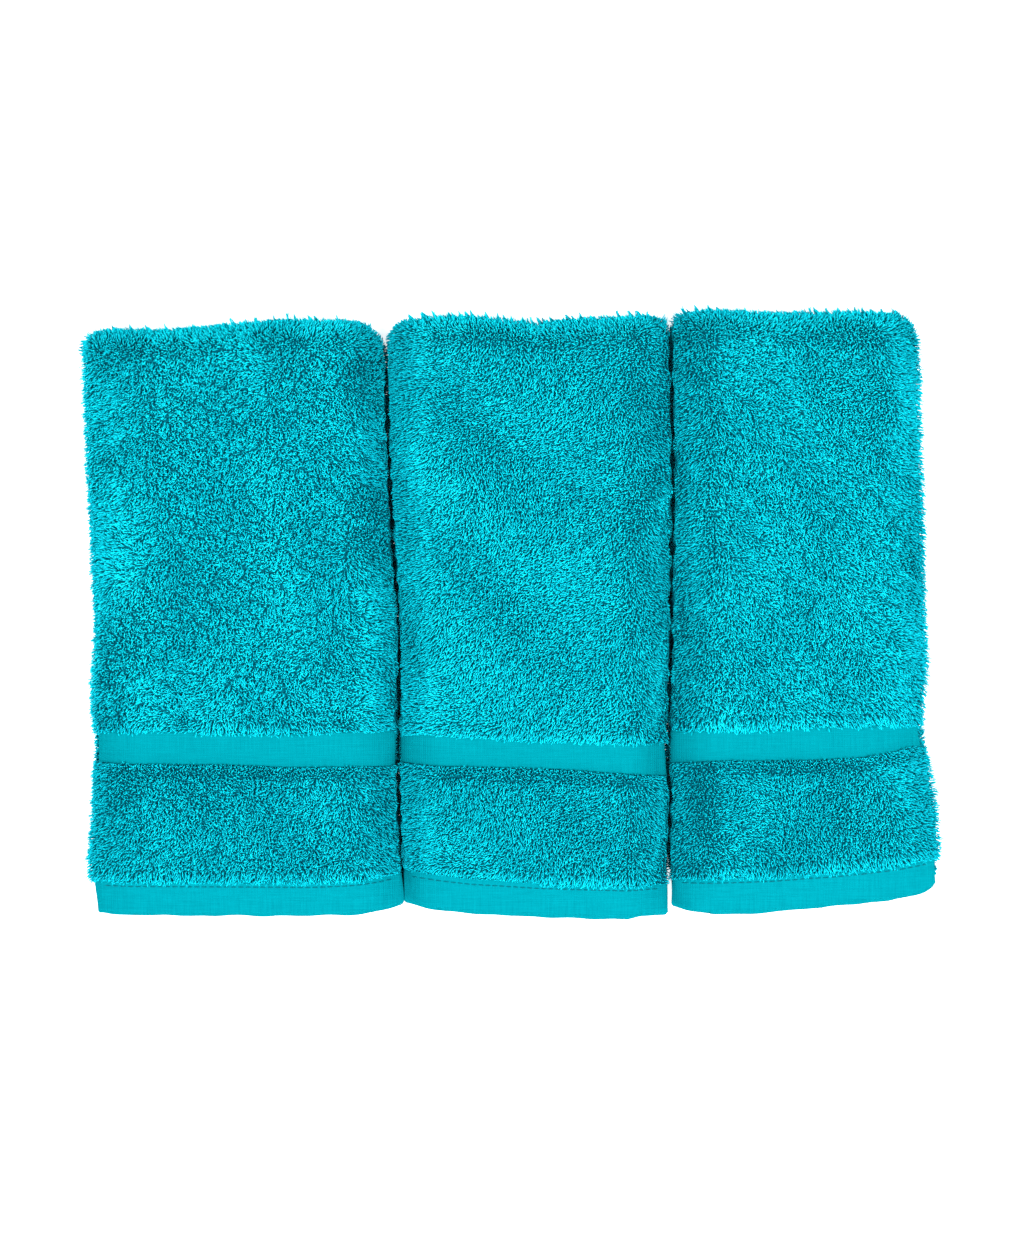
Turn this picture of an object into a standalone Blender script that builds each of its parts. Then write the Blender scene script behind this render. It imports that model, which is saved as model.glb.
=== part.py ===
"""Set of three folded terry hand towels, lying side by side on a flat surface.

Each towel is one cotton cloth, folded in three across its width and then in three
along its length. The lower panel lies on the surface, the near third is folded in
over it, and the far third comes over both as the top flap, with its hem at the
near edge. The flap opens about the far fold, which turns at two creases.
Run with: blender --background --python part.py
"""

import collections

import bmesh
import bpy

# Cloth, in metres
LAYER = 0.0042  # one thickness of terry, with its pile
LAYERS_IN_PANEL = 3  # each panel is the cloth folded in three across its width
CLEARANCE = 0.0003  # gap between pieces that touch
PANEL = LAYER * LAYERS_IN_PANEL
STACK = 3 * PANEL

# Woven zones at each end of a towel, in metres
HEM_WIDTH = 0.0205
BORDER_WIDTH = 0.0185
BAND_WIDTH = 0.067
BORDER_THICKNESS = 0.006
HEM_THICKNESS = 0.007
INNER_GAP = 0.0185  # from the far fold's inside to the hem that is folded in

# Turned and stitched edges, in metres
SIDE_HEM_WIDTH = 0.010
SIDE_HEM_THICKNESS = 0.0015
SIDE_HEM_INSET = 0.020  # from the towel's side to the free edge of the width fold
THREAD_RADIUS = 0.0004
THREAD_SETBACK = 0.0022  # from the hem's seam to its line of stitches
THREAD_INSET = 0.004

# Folds, in metres
CREASE = 0.009  # distance of both far creases from the fold's outer faces
FAR_FOLD_DEPTH = 0.0123
NEAR_FOLD_SETBACK = 0.007  # the near fold lies this far inside the flap's hem
SIDE_ROUNDING = 0.48  # edge radius as a share of a panel's thickness
ROUND_SEGMENTS = 5

# Each towel's outline seen from above. Centres and widths are those of the near and
# the far end. A rise is how far a line climbs from the towel's left to its right.
Towel = collections.namedtuple(
    "Towel",
    "near_centre near_width far_centre far_width fold_y hem_y hem_rise border_y border_rise",
)
TOWELS = {
    "left": Towel(-0.15615, 0.1821, -0.1647, 0.1752, 0.1724, -0.1785, 0.0, -0.0890, 0.0),
    "middle": Towel(0.0147, 0.1572, 0.0099, 0.1608, 0.1748, -0.1768, -0.0036, -0.0901, -0.003),
    "right": Towel(0.1746, 0.1554, 0.1674, 0.1410, 0.1785, -0.1714, 0.012, -0.0862, 0.005),
}

# Colours as linear RGB with alpha, and roughness
TERRY = ("terry", (0.003, 0.39, 0.49, 1.0), 0.95)
FLAT_WEAVE = ("flat_weave", (0.001, 0.46, 0.56, 1.0), 0.75)
THREAD = ("thread", (0.002, 0.50, 0.60, 1.0), 0.6)


def clear_scene():
    for found in list(bpy.data.objects):
        bpy.data.objects.remove(found, do_unlink=True)


def blend(a, b, share):
    return a + (b - a) * share


def line(y, rise=0.0):
    """A line across a towel, as its y at the left and at the right side."""
    return (y - rise / 2, y + rise / 2)


def moved(across, distance):
    return (across[0] + distance, across[1] + distance)


def side_x(towel, share, y):
    """The x of the point a share of the way across the towel, at y along it."""
    along = (y - towel.hem_y) / (towel.fold_y - towel.hem_y)
    centre = blend(towel.near_centre, towel.far_centre, along)
    width = blend(towel.near_width, towel.far_width, along)
    return centre + width * (share - 0.5)


def make_material(name, finish):
    _, colour, roughness = finish
    material = bpy.data.materials.new(name)
    material.use_nodes = True
    shader = material.node_tree.nodes["Principled BSDF"]
    shader.inputs["Base Color"].default_value = colour
    shader.inputs["Roughness"].default_value = roughness
    shader.inputs["Metallic"].default_value = 0.0
    material.diffuse_color = colour
    return material


def add_object(name, mesh, finish, collection):
    made = bpy.data.objects.new(name, mesh)
    mesh.materials.append(make_material(name + "_" + finish[0], finish))
    collection.objects.link(made)
    return made


def round_edges(made, radius, segments):
    """Rounds the edges that carry a bevel weight."""
    bevel = made.modifiers.new("rounded_edges", "BEVEL")
    bevel.limit_method = "WEIGHT"
    bevel.width = radius
    bevel.segments = segments
    made.data.shade_smooth()
    made.data.set_sharp_from_angle(angle=0.7)


def slab(name, towel, near, far, heights, finish, collection, rounded="sides", shares=(0.0, 1.0)):
    """A closed slab between two lines across the towel, from one height to another.

    rounded says which edges are rounded: the towel's "sides", or the ones across
    the towel at its "near" or "far" face.
    """
    shape = bmesh.new()
    bmesh.ops.create_cube(shape, size=1.0)
    weights = shape.edges.layers.float.new("bevel_weight_edge")
    for edge in shape.edges:
        low, high = edge.verts[0].co, edge.verts[1].co
        runs_across = abs(low.x - high.x) > 0.5
        runs_along = abs(low.y - high.y) > 0.5
        is_near, is_far = low.y < 0, low.y > 0
        chosen = {
            "sides": runs_along,
            "near": runs_across and is_near,
            "far": runs_across and is_far,
            "none": False,
        }[rounded]
        edge[weights] = 1.0 if chosen else 0.0
    for vert in shape.verts:
        across, along, up = (value + 0.5 for value in vert.co)
        share = blend(shares[0], shares[1], across)
        y = blend(blend(near[0], near[1], share), blend(far[0], far[1], share), along)
        vert.co = (side_x(towel, share, y), y, blend(heights[0], heights[1], up))
    mesh = bpy.data.meshes.new(name)
    shape.to_mesh(mesh)
    shape.free()
    made = add_object(name, mesh, finish, collection)
    thickness = heights[1] - heights[0]
    if rounded != "none":
        round_edges(made, thickness * SIDE_ROUNDING, ROUND_SEGMENTS)
    return made


def set_origin(made, y, z):
    """Puts the object's origin on a crease, and leaves its mesh where it is."""
    made.data.transform(made.matrix_world.Translation((0.0, -y, -z)))
    made.location = (0.0, y, z)


def stitch_line(name, towel, seam, z, collection):
    """The line of stitches that holds a turned hem, as one thin thread."""
    shape = bmesh.new()
    bmesh.ops.create_cone(
        shape, cap_ends=True, segments=8, radius1=THREAD_RADIUS, radius2=THREAD_RADIUS, depth=1.0
    )
    for vert in shape.verts:
        across = vert.co.z + 0.5
        y = blend(seam[0], seam[1], across)
        left = side_x(towel, 0.0, y) + THREAD_INSET
        right = side_x(towel, 1.0, y) - THREAD_INSET
        vert.co = (blend(left, right, across), y + vert.co.x, z + vert.co.y)
    mesh = bpy.data.meshes.new(name)
    shape.to_mesh(mesh)
    shape.free()
    mesh.shade_smooth()
    mesh.set_sharp_from_angle(angle=0.9)
    return add_object(name, mesh, THREAD, collection)


def side_hem(name, towel, near, far, low, collection):
    """The turned side edge, where the width fold ends on the panel's inner face."""
    width = 0.5 * (towel.near_width + towel.far_width)
    right = 1.0 - SIDE_HEM_INSET / width
    left = right - SIDE_HEM_WIDTH / width
    heights = (low, low + SIDE_HEM_THICKNESS)
    return slab(name, towel, near, far, heights, FLAT_WEAVE, collection, "none", (left, right))


def woven_end(side, third, towel, lines, low, top, collection):
    """The field, border, band, hem and stitches of one end third.

    lines are the field's start, the border's two edges, the hem's seam and its edge,
    in order from the fold that the third hangs on. Returns the objects made.
    """
    tops = {
        "field": top,
        "border": low + BORDER_THICKNESS,
        "band": top,
        "hem": low + HEM_THICKNESS,
    }
    made = []
    towards_near = lines[0][0] > lines[-1][0]
    for index, zone in enumerate(tops):
        start, end = lines[index], lines[index + 1]
        near, far = (end, start) if towards_near else (start, end)
        near, far = moved(near, CLEARANCE / 2), moved(far, -CLEARANCE / 2)
        finish = FLAT_WEAVE if zone in ("border", "hem") else TERRY
        name = f"{side}_{third}_{zone}"
        made.append(slab(name, towel, near, far, (low, tops[zone]), finish, collection))
    setback = -THREAD_SETBACK if towards_near else THREAD_SETBACK
    height = tops["hem"] + CLEARANCE + THREAD_RADIUS
    name = f"{side}_{third}_hem_stitching"
    made.append(stitch_line(name, towel, moved(lines[3], setback), height, collection))
    return made


def lower_towel(side, towel, collection):
    """The lower panel, the near fold and the third that is folded in over it."""
    near_fold_y = max(line(towel.hem_y, towel.hem_rise)) + NEAR_FOLD_SETBACK
    fold_end = line(near_fold_y + PANEL)
    panel_near = moved(fold_end, CLEARANCE)
    panel_far = line(towel.fold_y - FAR_FOLD_DEPTH - CLEARANCE)
    recess = SIDE_HEM_THICKNESS + CLEARANCE
    base_top = PANEL - CLEARANCE
    slab(
        f"{side}_base_panel", towel, panel_near, panel_far,
        (0.0, base_top - recess), TERRY, collection,
    )
    side_hem(
        f"{side}_base_side_hem", towel, panel_near, panel_far,
        base_top - SIDE_HEM_THICKNESS, collection,
    )
    slab(
        f"{side}_near_fold", towel, line(near_fold_y), fold_end,
        (0.0, 2 * PANEL - CLEARANCE), TERRY, collection, "near",
    )
    hem_edge = towel.fold_y - STACK / 2 - INNER_GAP
    seam = hem_edge - HEM_WIDTH
    border_far = seam - BAND_WIDTH
    border_near = border_far - BORDER_WIDTH
    lines = [panel_near, line(border_near), line(border_far), line(seam), line(hem_edge)]
    side_hem(f"{side}_inner_side_hem", towel, panel_near, line(hem_edge), PANEL, collection)
    woven_end(
        side, "inner", towel, lines, PANEL + recess, 2 * PANEL - CLEARANCE, collection
    )


def far_fold(side, towel, collection):
    """The stretch of cloth that turns up at the far end. Its origin is on the lower crease."""
    near = line(towel.fold_y - FAR_FOLD_DEPTH)
    far = line(towel.fold_y)
    heights = (CREASE + CLEARANCE, STACK - CREASE - CLEARANCE)
    made = slab(f"{side}_far_fold", towel, near, far, heights, TERRY, collection, "far")
    set_origin(made, towel.fold_y - CREASE, CREASE)


def top_flap(side, towel, collection):
    """The far third, on top. Its pieces have their origin on the upper crease."""
    start = line(towel.fold_y - FAR_FOLD_DEPTH - CLEARANCE)
    border_near = line(towel.border_y, towel.border_rise)
    hem_edge = line(towel.hem_y, towel.hem_rise)
    lines = [
        start, moved(border_near, BORDER_WIDTH), border_near, moved(hem_edge, HEM_WIDTH), hem_edge,
    ]
    low = 2 * PANEL
    recess = SIDE_HEM_THICKNESS + CLEARANCE
    made = woven_end(side, "flap", towel, lines, low + recess, STACK, collection)
    made.append(side_hem(f"{side}_flap_side_hem", towel, hem_edge, start, low, collection))
    for piece in made:
        set_origin(piece, towel.fold_y - CREASE, STACK - CREASE)


def build():
    clear_scene()
    collection = bpy.data.collections.new("towel_set")
    bpy.context.scene.collection.children.link(collection)
    for side, towel in TOWELS.items():
        lower_towel(side, towel, collection)
        far_fold(side, towel, collection)
        top_flap(side, towel, collection)


build()
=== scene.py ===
"""Three folded terry hand towels in a row, seen from straight above.

Every towel is one cloth, folded in three across its width and then in three along
its length. The cloth is built as sheets that follow those folds. Its pile is real
yarn: each tuft is a bent, tapered tube that grows from the cloth and leans with the
tufts around it. The borders and hems are bare, woven cloth with sewn stitches.
"""

import math
from dataclasses import dataclass, replace

import bpy
import numpy as np
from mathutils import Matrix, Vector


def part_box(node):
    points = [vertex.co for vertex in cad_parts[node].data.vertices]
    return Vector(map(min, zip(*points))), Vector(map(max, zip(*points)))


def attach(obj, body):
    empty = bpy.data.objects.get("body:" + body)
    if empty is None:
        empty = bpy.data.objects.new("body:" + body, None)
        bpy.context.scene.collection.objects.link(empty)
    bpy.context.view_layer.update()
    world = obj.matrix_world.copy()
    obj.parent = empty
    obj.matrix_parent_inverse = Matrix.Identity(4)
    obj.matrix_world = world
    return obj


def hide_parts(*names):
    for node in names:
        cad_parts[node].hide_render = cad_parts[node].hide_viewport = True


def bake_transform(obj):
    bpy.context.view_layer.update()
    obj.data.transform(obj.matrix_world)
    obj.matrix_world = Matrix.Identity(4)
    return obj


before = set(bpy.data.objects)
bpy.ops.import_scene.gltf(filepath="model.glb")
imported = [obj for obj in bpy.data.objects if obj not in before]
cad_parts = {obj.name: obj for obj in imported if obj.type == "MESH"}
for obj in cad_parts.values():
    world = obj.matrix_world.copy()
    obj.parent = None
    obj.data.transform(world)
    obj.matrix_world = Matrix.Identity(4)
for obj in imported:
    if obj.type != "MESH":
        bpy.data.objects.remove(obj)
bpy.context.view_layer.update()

SIDES = ("left", "middle", "right")
ZONES = ("field", "border", "band", "hem")  # of an end third, from its fold to its free end
MM = 0.001

# Folded cloth
PITCH = 4.2 * MM  # height of one thickness of terry in a panel, with its pile
PANEL = 3 * PITCH
STACK = 3 * PANEL
BORDER_PANEL = 8.5 * MM  # height of a panel where it is bare border
HEM_PANEL = 8.0 * MM
BARE_SLOPE = 9.0 * MM  # distance over which the terry drops to a border or a hem
HEM_DROOP = 4.0 * MM
DROOP_LENGTH = 26 * MM
UNDER_HEM = 1.7 * MM  # how far the lower layers of a hem show past the top one
RIPPLE = 0.35 * MM  # how wavy the top hem's edge is
RIPPLE_LENGTH = 12 * MM
SHOULDER = 27 * MM  # width of the rounded shoulder along each side
OUTER_DROP = 0.36  # share of the height that a shoulder loses on the row's outer sides
INNER_DROP = 0.52  # and where it rolls in beside the next towel
CROWN = 1.5 * MM  # how much higher the middle of a towel stands than its shoulders
UNEVEN = 0.9 * MM  # how far the top and the sides wander
FREE_EDGE = 22 * MM  # how far the width fold's free edge stops short of the side
SIDE_HEM = 10 * MM

TERRY_CLOTH = 1.0 * MM  # thickness of the cloth under the pile
BORDER_CLOTH = 1.3 * MM
HEM_CLOTH = 1.9 * MM
SIDE_HEM_CLOTH = 2.1 * MM
COARSE = (7 * MM, 5 * MM)  # steps of a sheet's mesh across and along the cloth
FINE = (2.5 * MM, 2.5 * MM)

CREASE = 9.0 * MM  # how far in from the far fold's corner its two creases lie
HALF_BEND = 4.45 * MM  # how far on each side of a crease the cloth bends

# Stitches
STITCH = 4.3 * MM
STITCH_SETBACK = 3.1 * MM  # distance from the hem's seam
THREAD_RADIUS = 0.38 * MM
THREAD_DIPS = (-2.3, 0.7)  # lowest and highest place over the cloth, in thread radii

# Tufts
TUFT_LENGTH = 4.7 * MM
TUFT_RADIUS = 0.345 * MM
SIDE_TUFT_RADIUS = 0.43 * MM
HIDDEN_TUFT_RADIUS = 0.55 * MM
TUFT_RINGS = (0.0, 0.5, 0.9)  # where a tuft has rings of points, as shares of its length
TUFT_SHAPE = (0.8, 1.05, 0.85)  # and how wide it is there
TUFT_SIDES = 3
SPACING = 1.05 * MM
SIDE_SPACING = 1.4 * MM
HIDDEN_SPACING = 2.85 * MM
MOST_TRIANGLES = 190000

# The way the pile lies
BRUSHED = {"left": 80, "middle": 130, "right": 70}  # the main way, in degrees from +X to -Y
SWIRL = {"left": 0.7, "middle": 1.1, "right": 0.85}  # how strongly tufts follow it
WANDER = {"left": 1.2, "middle": 0.55, "right": 0.9}  # how much it changes over a towel
STRAY = 0.34  # how far single tufts stray from it
CURL = {"left": 1.6, "middle": 0.9, "right": 1.3}  # how far a tuft twists sideways, in radians
CLUMP = 7.0 * MM
GATHER = {"left": 0.34, "middle": 0.16, "right": 0.22}  # how much tufts lean into clumps
LOCK = 5.2 * MM
LOCKS = {"left": 0.35, "middle": 0.65, "right": 0.45}  # share of the far fold in pointed locks
LOCK_LENGTH = 1.45  # how much longer the tufts of a lock are
LOCK_SHADE = 0.22  # and how much darker
OUTWARD = 0.25  # how strongly the pile leans out at the row's two ends
SLANT = 0.9  # and how strongly it leans along the cloth round those ends
AT_TIP = 1.4  # how strongly the far fold's outermost pile leans to the left
FRINGE = 1.1  # how much longer the top third's tufts are round the row's two ends
SET_BACK = 0.75  # and how much shorter they are on the thirds below
PAINTED_SIDE_SHADE = {  # painted shade: how much darker the pile is painted along each side of each towel, for the shade in the valleys between towels and on the rounded shoulders
    ("left", "left"): 0.2, ("left", "right"): 0.95, ("middle", "left"): 0.65,
    ("middle", "right"): 0.42, ("right", "left"): 0.5, ("right", "right"): 0.5,
}
# how far in from each side that painted shade reaches
PAINTED_SIDE_SHADE_WIDTH = 20 * MM
COMBED_BACK = {"left": 0.0, "middle": 0.52, "right": 0.0}  # share of the hem's seam left clear of pile

# Where two towels meet
MESHED_BELOW = 5 * MM  # height up to which their sides touch
APART_ABOVE = 12 * MM  # height from which they stand apart
SIDE_GAP = 2.1 * MM  # what the pile leaves open on each side of the line where they meet
SIDE_MESH = 2.1 * MM  # how far it reaches past that line where the sides touch

# The room, in metres
FLOOR_HALF = 4.0
WALL_SIDES, WALL_RADIUS, WALL_HEIGHT = 48, 3.95, 4.0
CAMERA_HEIGHT = 1.9
VIEW_HEIGHT = 0.746  # what the picture's height spans at the towels' tops
VIEW_CENTRE = -2.8 * MM
SENSOR = 36.0  # in millimetres

# The towels' hand-folded outline. Each list holds places and, for each, the distance in
# millimetres from the straight line of the CAD part. Places are millimetres along Y for
# the two sides, and shares of the width for the lines across.
OUTLINE = {
    "left": {
        "left_side": ((-173, -146, -110, -80, -53, -23, 22, 67, 112, 166),
                      (-3.5, -4.6, -3.2, -1.3, -1.8, -0.4, 0.2, -2.1, -2.7, -4.3)),
        "right_side": ((-173, -140, -110, -80, -38, -8, 22, 52, 82, 112, 157),
                       (-0.4, -2.9, -3.6, -2.9, -0.6, 0.4, -0.3, -1.7, -2.5, -2.7, -3.5)),
        "fold": ((0.0, 0.07, 0.23, 0.38, 0.54, 0.69, 0.85, 1.0),
                 (-1.0, 0.6, 0.0, 1.5, 4.5, 6.5, 6.0, 4.8)),
        "border_far": ((0.0, 0.27, 0.48, 0.71, 0.97), (2.3, 2.0, 1.1, 1.1, 1.7)),
        "border_near": ((0.0, 0.14, 0.48, 0.66, 0.97), (1.6, 0.4, -0.2, -1.4, -0.8)),
        "seam": ((0.0, 0.14, 0.5, 0.71, 0.83, 0.94, 1.0), (-0.2, -0.5, -0.8, -1.1, -0.2, 1.9, 3.4)),
        "hem_edge": ((0.0, 0.02, 0.04, 0.33, 0.73, 0.83, 0.88, 0.93, 0.98, 1.0),
                     (2.3, 1.8, 0.9, 0.7, 0.7, 1.2, 1.9, 3.4, 5.8, 7.1)),
        "corners": (6.0, 16.0),
    },
    "middle": {
        "left_side": ((-173, -140, -110, -80, -38, -8, 22, 52, 82, 112, 157),
                      (-0.5, -1.1, -1.7, -0.6, 0.2, 0.5, -0.5, -2.3, -3.5, -3.6, -2.4)),
        "right_side": ((-173, -143, -110, -80, -38, 7, 67, 127, 157),
                       (0.3, -0.3, 0.6, -0.1, 1.2, 2.8, 4.2, 4.1, 3.5)),
        "fold": ((0.0, 0.15, 0.3, 0.52, 0.67, 0.82, 0.9, 1.0),
                 (3.0, 6.0, 6.0, 1.8, 4.5, 5.5, 7.0, 6.0)),
        "border_far": ((0.0, 0.17, 0.37, 0.61, 0.78, 0.97), (0.2, -0.5, -1.4, -1.6, -2.3, -2.7)),
        "border_near": ((0.0, 0.14, 0.37, 0.61, 0.74, 0.97), (1.3, -0.7, -0.9, -1.4, -2.5, -4.0)),
        "seam": ((0.0, 0.14, 0.26, 0.37, 0.49, 0.61, 0.84, 1.0),
                 (2.3, -0.1, -1.8, -2.3, -3.1, -3.3, -3.6, -3.1)),
        "hem_edge": ((0.0, 0.03, 0.08, 0.15, 0.26, 0.41, 0.62, 0.8, 0.86, 0.88, 1.0),
                     (4.2, 3.0, 1.5, 0.5, -0.8, -1.5, -1.9, -2.0, -2.2, 0.2, 0.0)),
        "corners": (9.0, 9.0),
    },
    "right": {
        "left_side": ((-173, -143, -110, -80, -38, 7, 67, 127, 157),
                      (-0.3, 0.0, 1.2, 0.9, 0.6, 1.8, 3.0, 2.4, 1.8)),
        "right_side": ((-164, -143, -98, -80, -68, -53, -23, 22, 67, 127, 166),
                       (3.9, 4.2, 2.4, -0.1, -2.3, -1.7, 1.3, 2.9, 2.6, 3.9, 3.7)),
        "fold": ((0.0, 0.15, 0.44, 0.74, 0.89, 1.0), (4.5, 6.5, 4.0, 5.0, 4.5, 3.5)),
        "border_far": ((0.0, 0.16, 0.27, 0.5, 0.73, 0.85, 0.94), (1.4, 2.8, 1.3, 2.5, 1.4, 2.0, 1.0)),
        "border_near": ((0.0, 0.16, 0.39, 0.61, 0.73, 0.85, 0.94), (0.7, 1.5, 0.3, 0.1, 0.4, 2.5, 5.3)),
        "seam": ((0.0, 0.16, 0.39, 0.5, 0.61, 0.73, 0.85, 1.0),
                 (-0.8, -1.4, -2.9, -2.8, -3.2, -2.8, -1.8, 0.3)),
        "hem_edge": ((0.0, 0.05, 0.1, 0.23, 0.36, 0.52, 0.68, 0.84, 0.94, 0.98, 1.0),
                     (4.6, 1.5, -0.4, -2.4, -2.8, -2.4, -1.8, -1.0, 0.5, 2.2, 5.8)),
        "corners": (8.0, 10.0),
    },
}


# ---------- smooth noise


def wave_noise(a, b, size, seed):
    """Smooth noise from about -1 to 1, made of waves about size long."""
    rng = np.random.default_rng(seed)
    total = np.zeros_like(a)
    waves = 7
    for _ in range(waves):
        angle = rng.uniform(0, 2 * math.pi)
        k = 2 * math.pi / (size * rng.uniform(0.7, 1.5))
        phase = rng.uniform(0, 2 * math.pi)
        total += np.sin(k * (math.cos(angle) * a + math.sin(angle) * b) + phase)
    return total / math.sqrt(waves)


def smooth(x):
    """Eases from 0 to 1 as x goes from 0 to 1, and stays there beyond."""
    x = np.clip(x, 0.0, 1.0)
    return x * x * (3 - 2 * x)


def clump_pull(a, b, size, seed):
    """For each point, the way to the centre of its clump, in clump sizes, and the clump's lot."""
    rng = np.random.default_rng(seed)
    table, lots = rng.uniform(0.05, 0.95, (64, 64, 2)), rng.uniform(0, 1, (64, 64))
    a, b = 0.82 * a + 0.57 * b, 0.82 * b - 0.57 * a
    ia, ib = np.floor(a / size).astype(int), np.floor(b / size).astype(int)
    best = np.full(a.shape, 1e9)
    pull, lot = np.zeros(a.shape + (2,)), np.zeros(a.shape)
    for da in (-1, 0, 1):
        for db in (-1, 0, 1):
            cell = table[(ia + da) % 64, (ib + db) % 64]
            to_a = (ia + da + cell[..., 0]) - a / size
            to_b = (ib + db + cell[..., 1]) - b / size
            distance = to_a**2 + to_b**2
            nearer = distance < best
            best = np.where(nearer, distance, best)
            pull[nearer] = np.stack([to_a, to_b], -1)[nearer]
            lot = np.where(nearer, lots[(ia + da) % 64, (ib + db) % 64], lot)
    return pull @ np.array([[0.82, 0.57], [-0.57, 0.82]]), lot


# ---------- the folded cloth


def droop(from_hem):
    """How far the top third hangs down near its hem."""
    return HEM_DROOP * smooth(1 - from_hem / DROOP_LENGTH) ** 1.5


def corners(node):
    """A CAD slab's corners in plan: near left, near right, far right and far left."""
    made = bpy.data.objects[node]
    points = np.array([v.co for v in made.data.vertices])[:, :2]
    x, y = points[:, 0], points[:, 1]
    picks = (np.argmin(x + y), np.argmax(x - y), np.argmax(x + y), np.argmin(x - y))
    return [points[i] for i in picks]


def soft_table(table, place, softness):
    """Looks a place up in a table of millimetres, with its corners rounded off."""
    places, values = table
    looked_up = [np.interp(place + step * softness, places, values) for step in (-1, -0.5, 0, 0.5, 1)]
    return sum(looked_up) / len(looked_up) * MM


def line_across(left, right, table=None):
    """A line across a towel, as a function that gives y for a share of the way."""

    def line(share):
        straight = left + (right - left) * share
        return straight if table is None else straight + soft_table(table, share, 0.02)

    return line


class CrossSection:
    """The path of a cloth folded in three across its width, in one panel.

    c runs from the free edge of the outer third, round the left fold, along the
    clean face, round the right fold and back. It gives s, the distance from the
    panel's left side, and h, the depth below the panel's clean face.
    """

    def __init__(self, width):
        p = PITCH
        self.width = width
        self.left_turn = width - FREE_EDGE - p
        self.face = self.left_turn + math.pi * p
        self.right_turn = self.face + width - 1.5 * p
        self.back = self.right_turn + math.pi * p / 2
        self.end = self.back + width - 0.5 * p - FREE_EDGE

    def at(self, c):
        p, w = PITCH, self.width
        left, right = (c - self.left_turn) / p, (c - self.right_turn) / (p / 2)
        before = [c < self.left_turn, c < self.face, c < self.right_turn, c < self.back]
        s = np.select(before, [
            w - FREE_EDGE - c, p - p * np.sin(left),
            p + c - self.face, w - p / 2 + p / 2 * np.sin(right),
        ], w - p / 2 - (c - self.back))
        h = np.select(before, [
            2.5 * p, 1.5 * p + p * np.cos(left), 0.5 * p, p - p / 2 * np.cos(right),
        ], 1.5 * p)
        return s, h

    def samples(self, low, high, step):
        """Places along the path from low to high, close together in the turns."""
        stops = (0.0, self.left_turn, self.face, self.right_turn, self.back, self.end)
        places = []
        for start, end, gap in zip(stops, stops[1:], (step, 1.6 * MM, step, 1.1 * MM, step)):
            start, end = max(start, low), min(end, high)
            if end - start > 1e-9:
                places.extend(np.linspace(start, end, max(2, math.ceil((end - start) / gap) + 1)))
        return np.unique(np.round(places, 9))


class Towel:
    """Where one towel's cloth runs: its edges, its lines across and its soft shape."""

    def __init__(self, side, index):
        self.side, self.seed = side, 100 * (index + 1)
        self.drops = [OUTER_DROP if index == end else INNER_DROP for end in (0, 2)]
        self.outline = OUTLINE[side]
        near_left, near_right = corners(f"{side}_flap_hem")[:2]
        far_right, far_left = corners(f"{side}_flap_field")[2:]
        self.left_edge = self.edge(near_left, far_left, self.outline["left_side"])
        self.right_edge = self.edge(near_right, far_right, self.outline["right_side"])
        self.fold_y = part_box(f"{side}_far_fold")[1].y
        self.near_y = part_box(f"{side}_near_fold")[0].y
        middle = 0.5 * (self.near_y + self.fold_y)
        self.width = float(self.right_edge(middle) - self.left_edge(middle))
        self.cross = CrossSection(self.width)
        centre = self.fold_y - STACK / 2
        self.far_centre = line_across(centre, centre, self.outline["fold"])
        self.near_centre = line_across(self.near_y + PANEL, self.near_y + PANEL)
        self.flap_lines = self.zone_lines("flap", self.far_centre)
        self.inner_lines = self.zone_lines("inner", self.near_centre)

    @staticmethod
    def edge(near, far, table):
        """A side of the towel, as a function that gives x for y."""
        slope = (far[0] - near[0]) / (far[1] - near[1])
        return lambda y: near[0] + slope * (y - near[1]) + soft_table(table, y / MM, 6.0)

    def zone_lines(self, third, start):
        """The lines that bound the zones of an end third, from its fold to its hem's edge."""
        flap, lines = third == "flap", [start]
        tables_of = {"border": ("border_near", "border_far"), "hem": ("hem_edge", "seam")}
        for zone, tables in tables_of.items():
            near_left, near_right, far_right, far_left = corners(f"{self.side}_{third}_{zone}")
            close_table, distant_table = (self.outline[t] if flap else None for t in tables)
            close = line_across(near_left[1], near_right[1], close_table)
            distant = line_across(far_left[1], far_right[1], distant_table)
            lines += [distant, close] if flap else [close, distant]
        return lines

    def x(self, s, y):
        """Turns a distance from the towel's left side into a place."""
        left, right = self.left_edge(y), self.right_edge(y)
        return left + s / self.width * (right - left)

    def kept(self, s, width):
        """The share of its height that the cloth keeps near the rounded shoulders."""
        share = 1.0
        for distance, drop in zip((s, width - s), self.drops):
            share = share * (1 - drop * np.clip(1 - distance / SHOULDER, 0, 1) ** 2)
        return share

    def kept_at(self, x, y):
        """The same for a place."""
        left = self.left_edge(y)
        return self.kept(x - left, self.right_edge(y) - left)

    def roof(self, x, y):
        """The underside of the top third, or far above where that third doesn't reach."""
        left, right = self.left_edge(y), self.right_edge(y)
        from_hem = y - self.flap_lines[-1](np.clip((x - left) / (right - left), 0, 1))
        z = 2 * PANEL - 1 * MM - droop(from_hem)
        return np.where(from_hem > 0, z * self.kept_at(x, y), 1.0)

    def settle(self, s, y, z):
        """The towel's soft shape: rounded shoulders, a gentle unevenness, wavy sides."""
        z = z * self.kept(s, self.width)
        z = z + CROWN * (1 - (2 * s / self.width - 1) ** 2) * z / STACK
        at_fold = smooth((y - self.fold_y + 45 * MM) / (40 * MM))
        for distance, radius in zip((s, self.width - s), self.outline["corners"]):
            within = np.clip(1 - distance / (radius * MM), 0, 1)
            y = y - radius * MM * (1 - np.sqrt(1 - 0.97 * within**2)) * at_fold
        x = self.x(s, y)
        z = z + UNEVEN * wave_noise(x, y, 70 * MM, self.seed) * z / STACK
        sway = wave_noise(y, z * 4, 80 * MM, self.seed + 1) * UNEVEN
        side = smooth(np.abs(s / self.width - 0.5) * 2)
        return np.stack([x + sway * side, y, z], -1)


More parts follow.
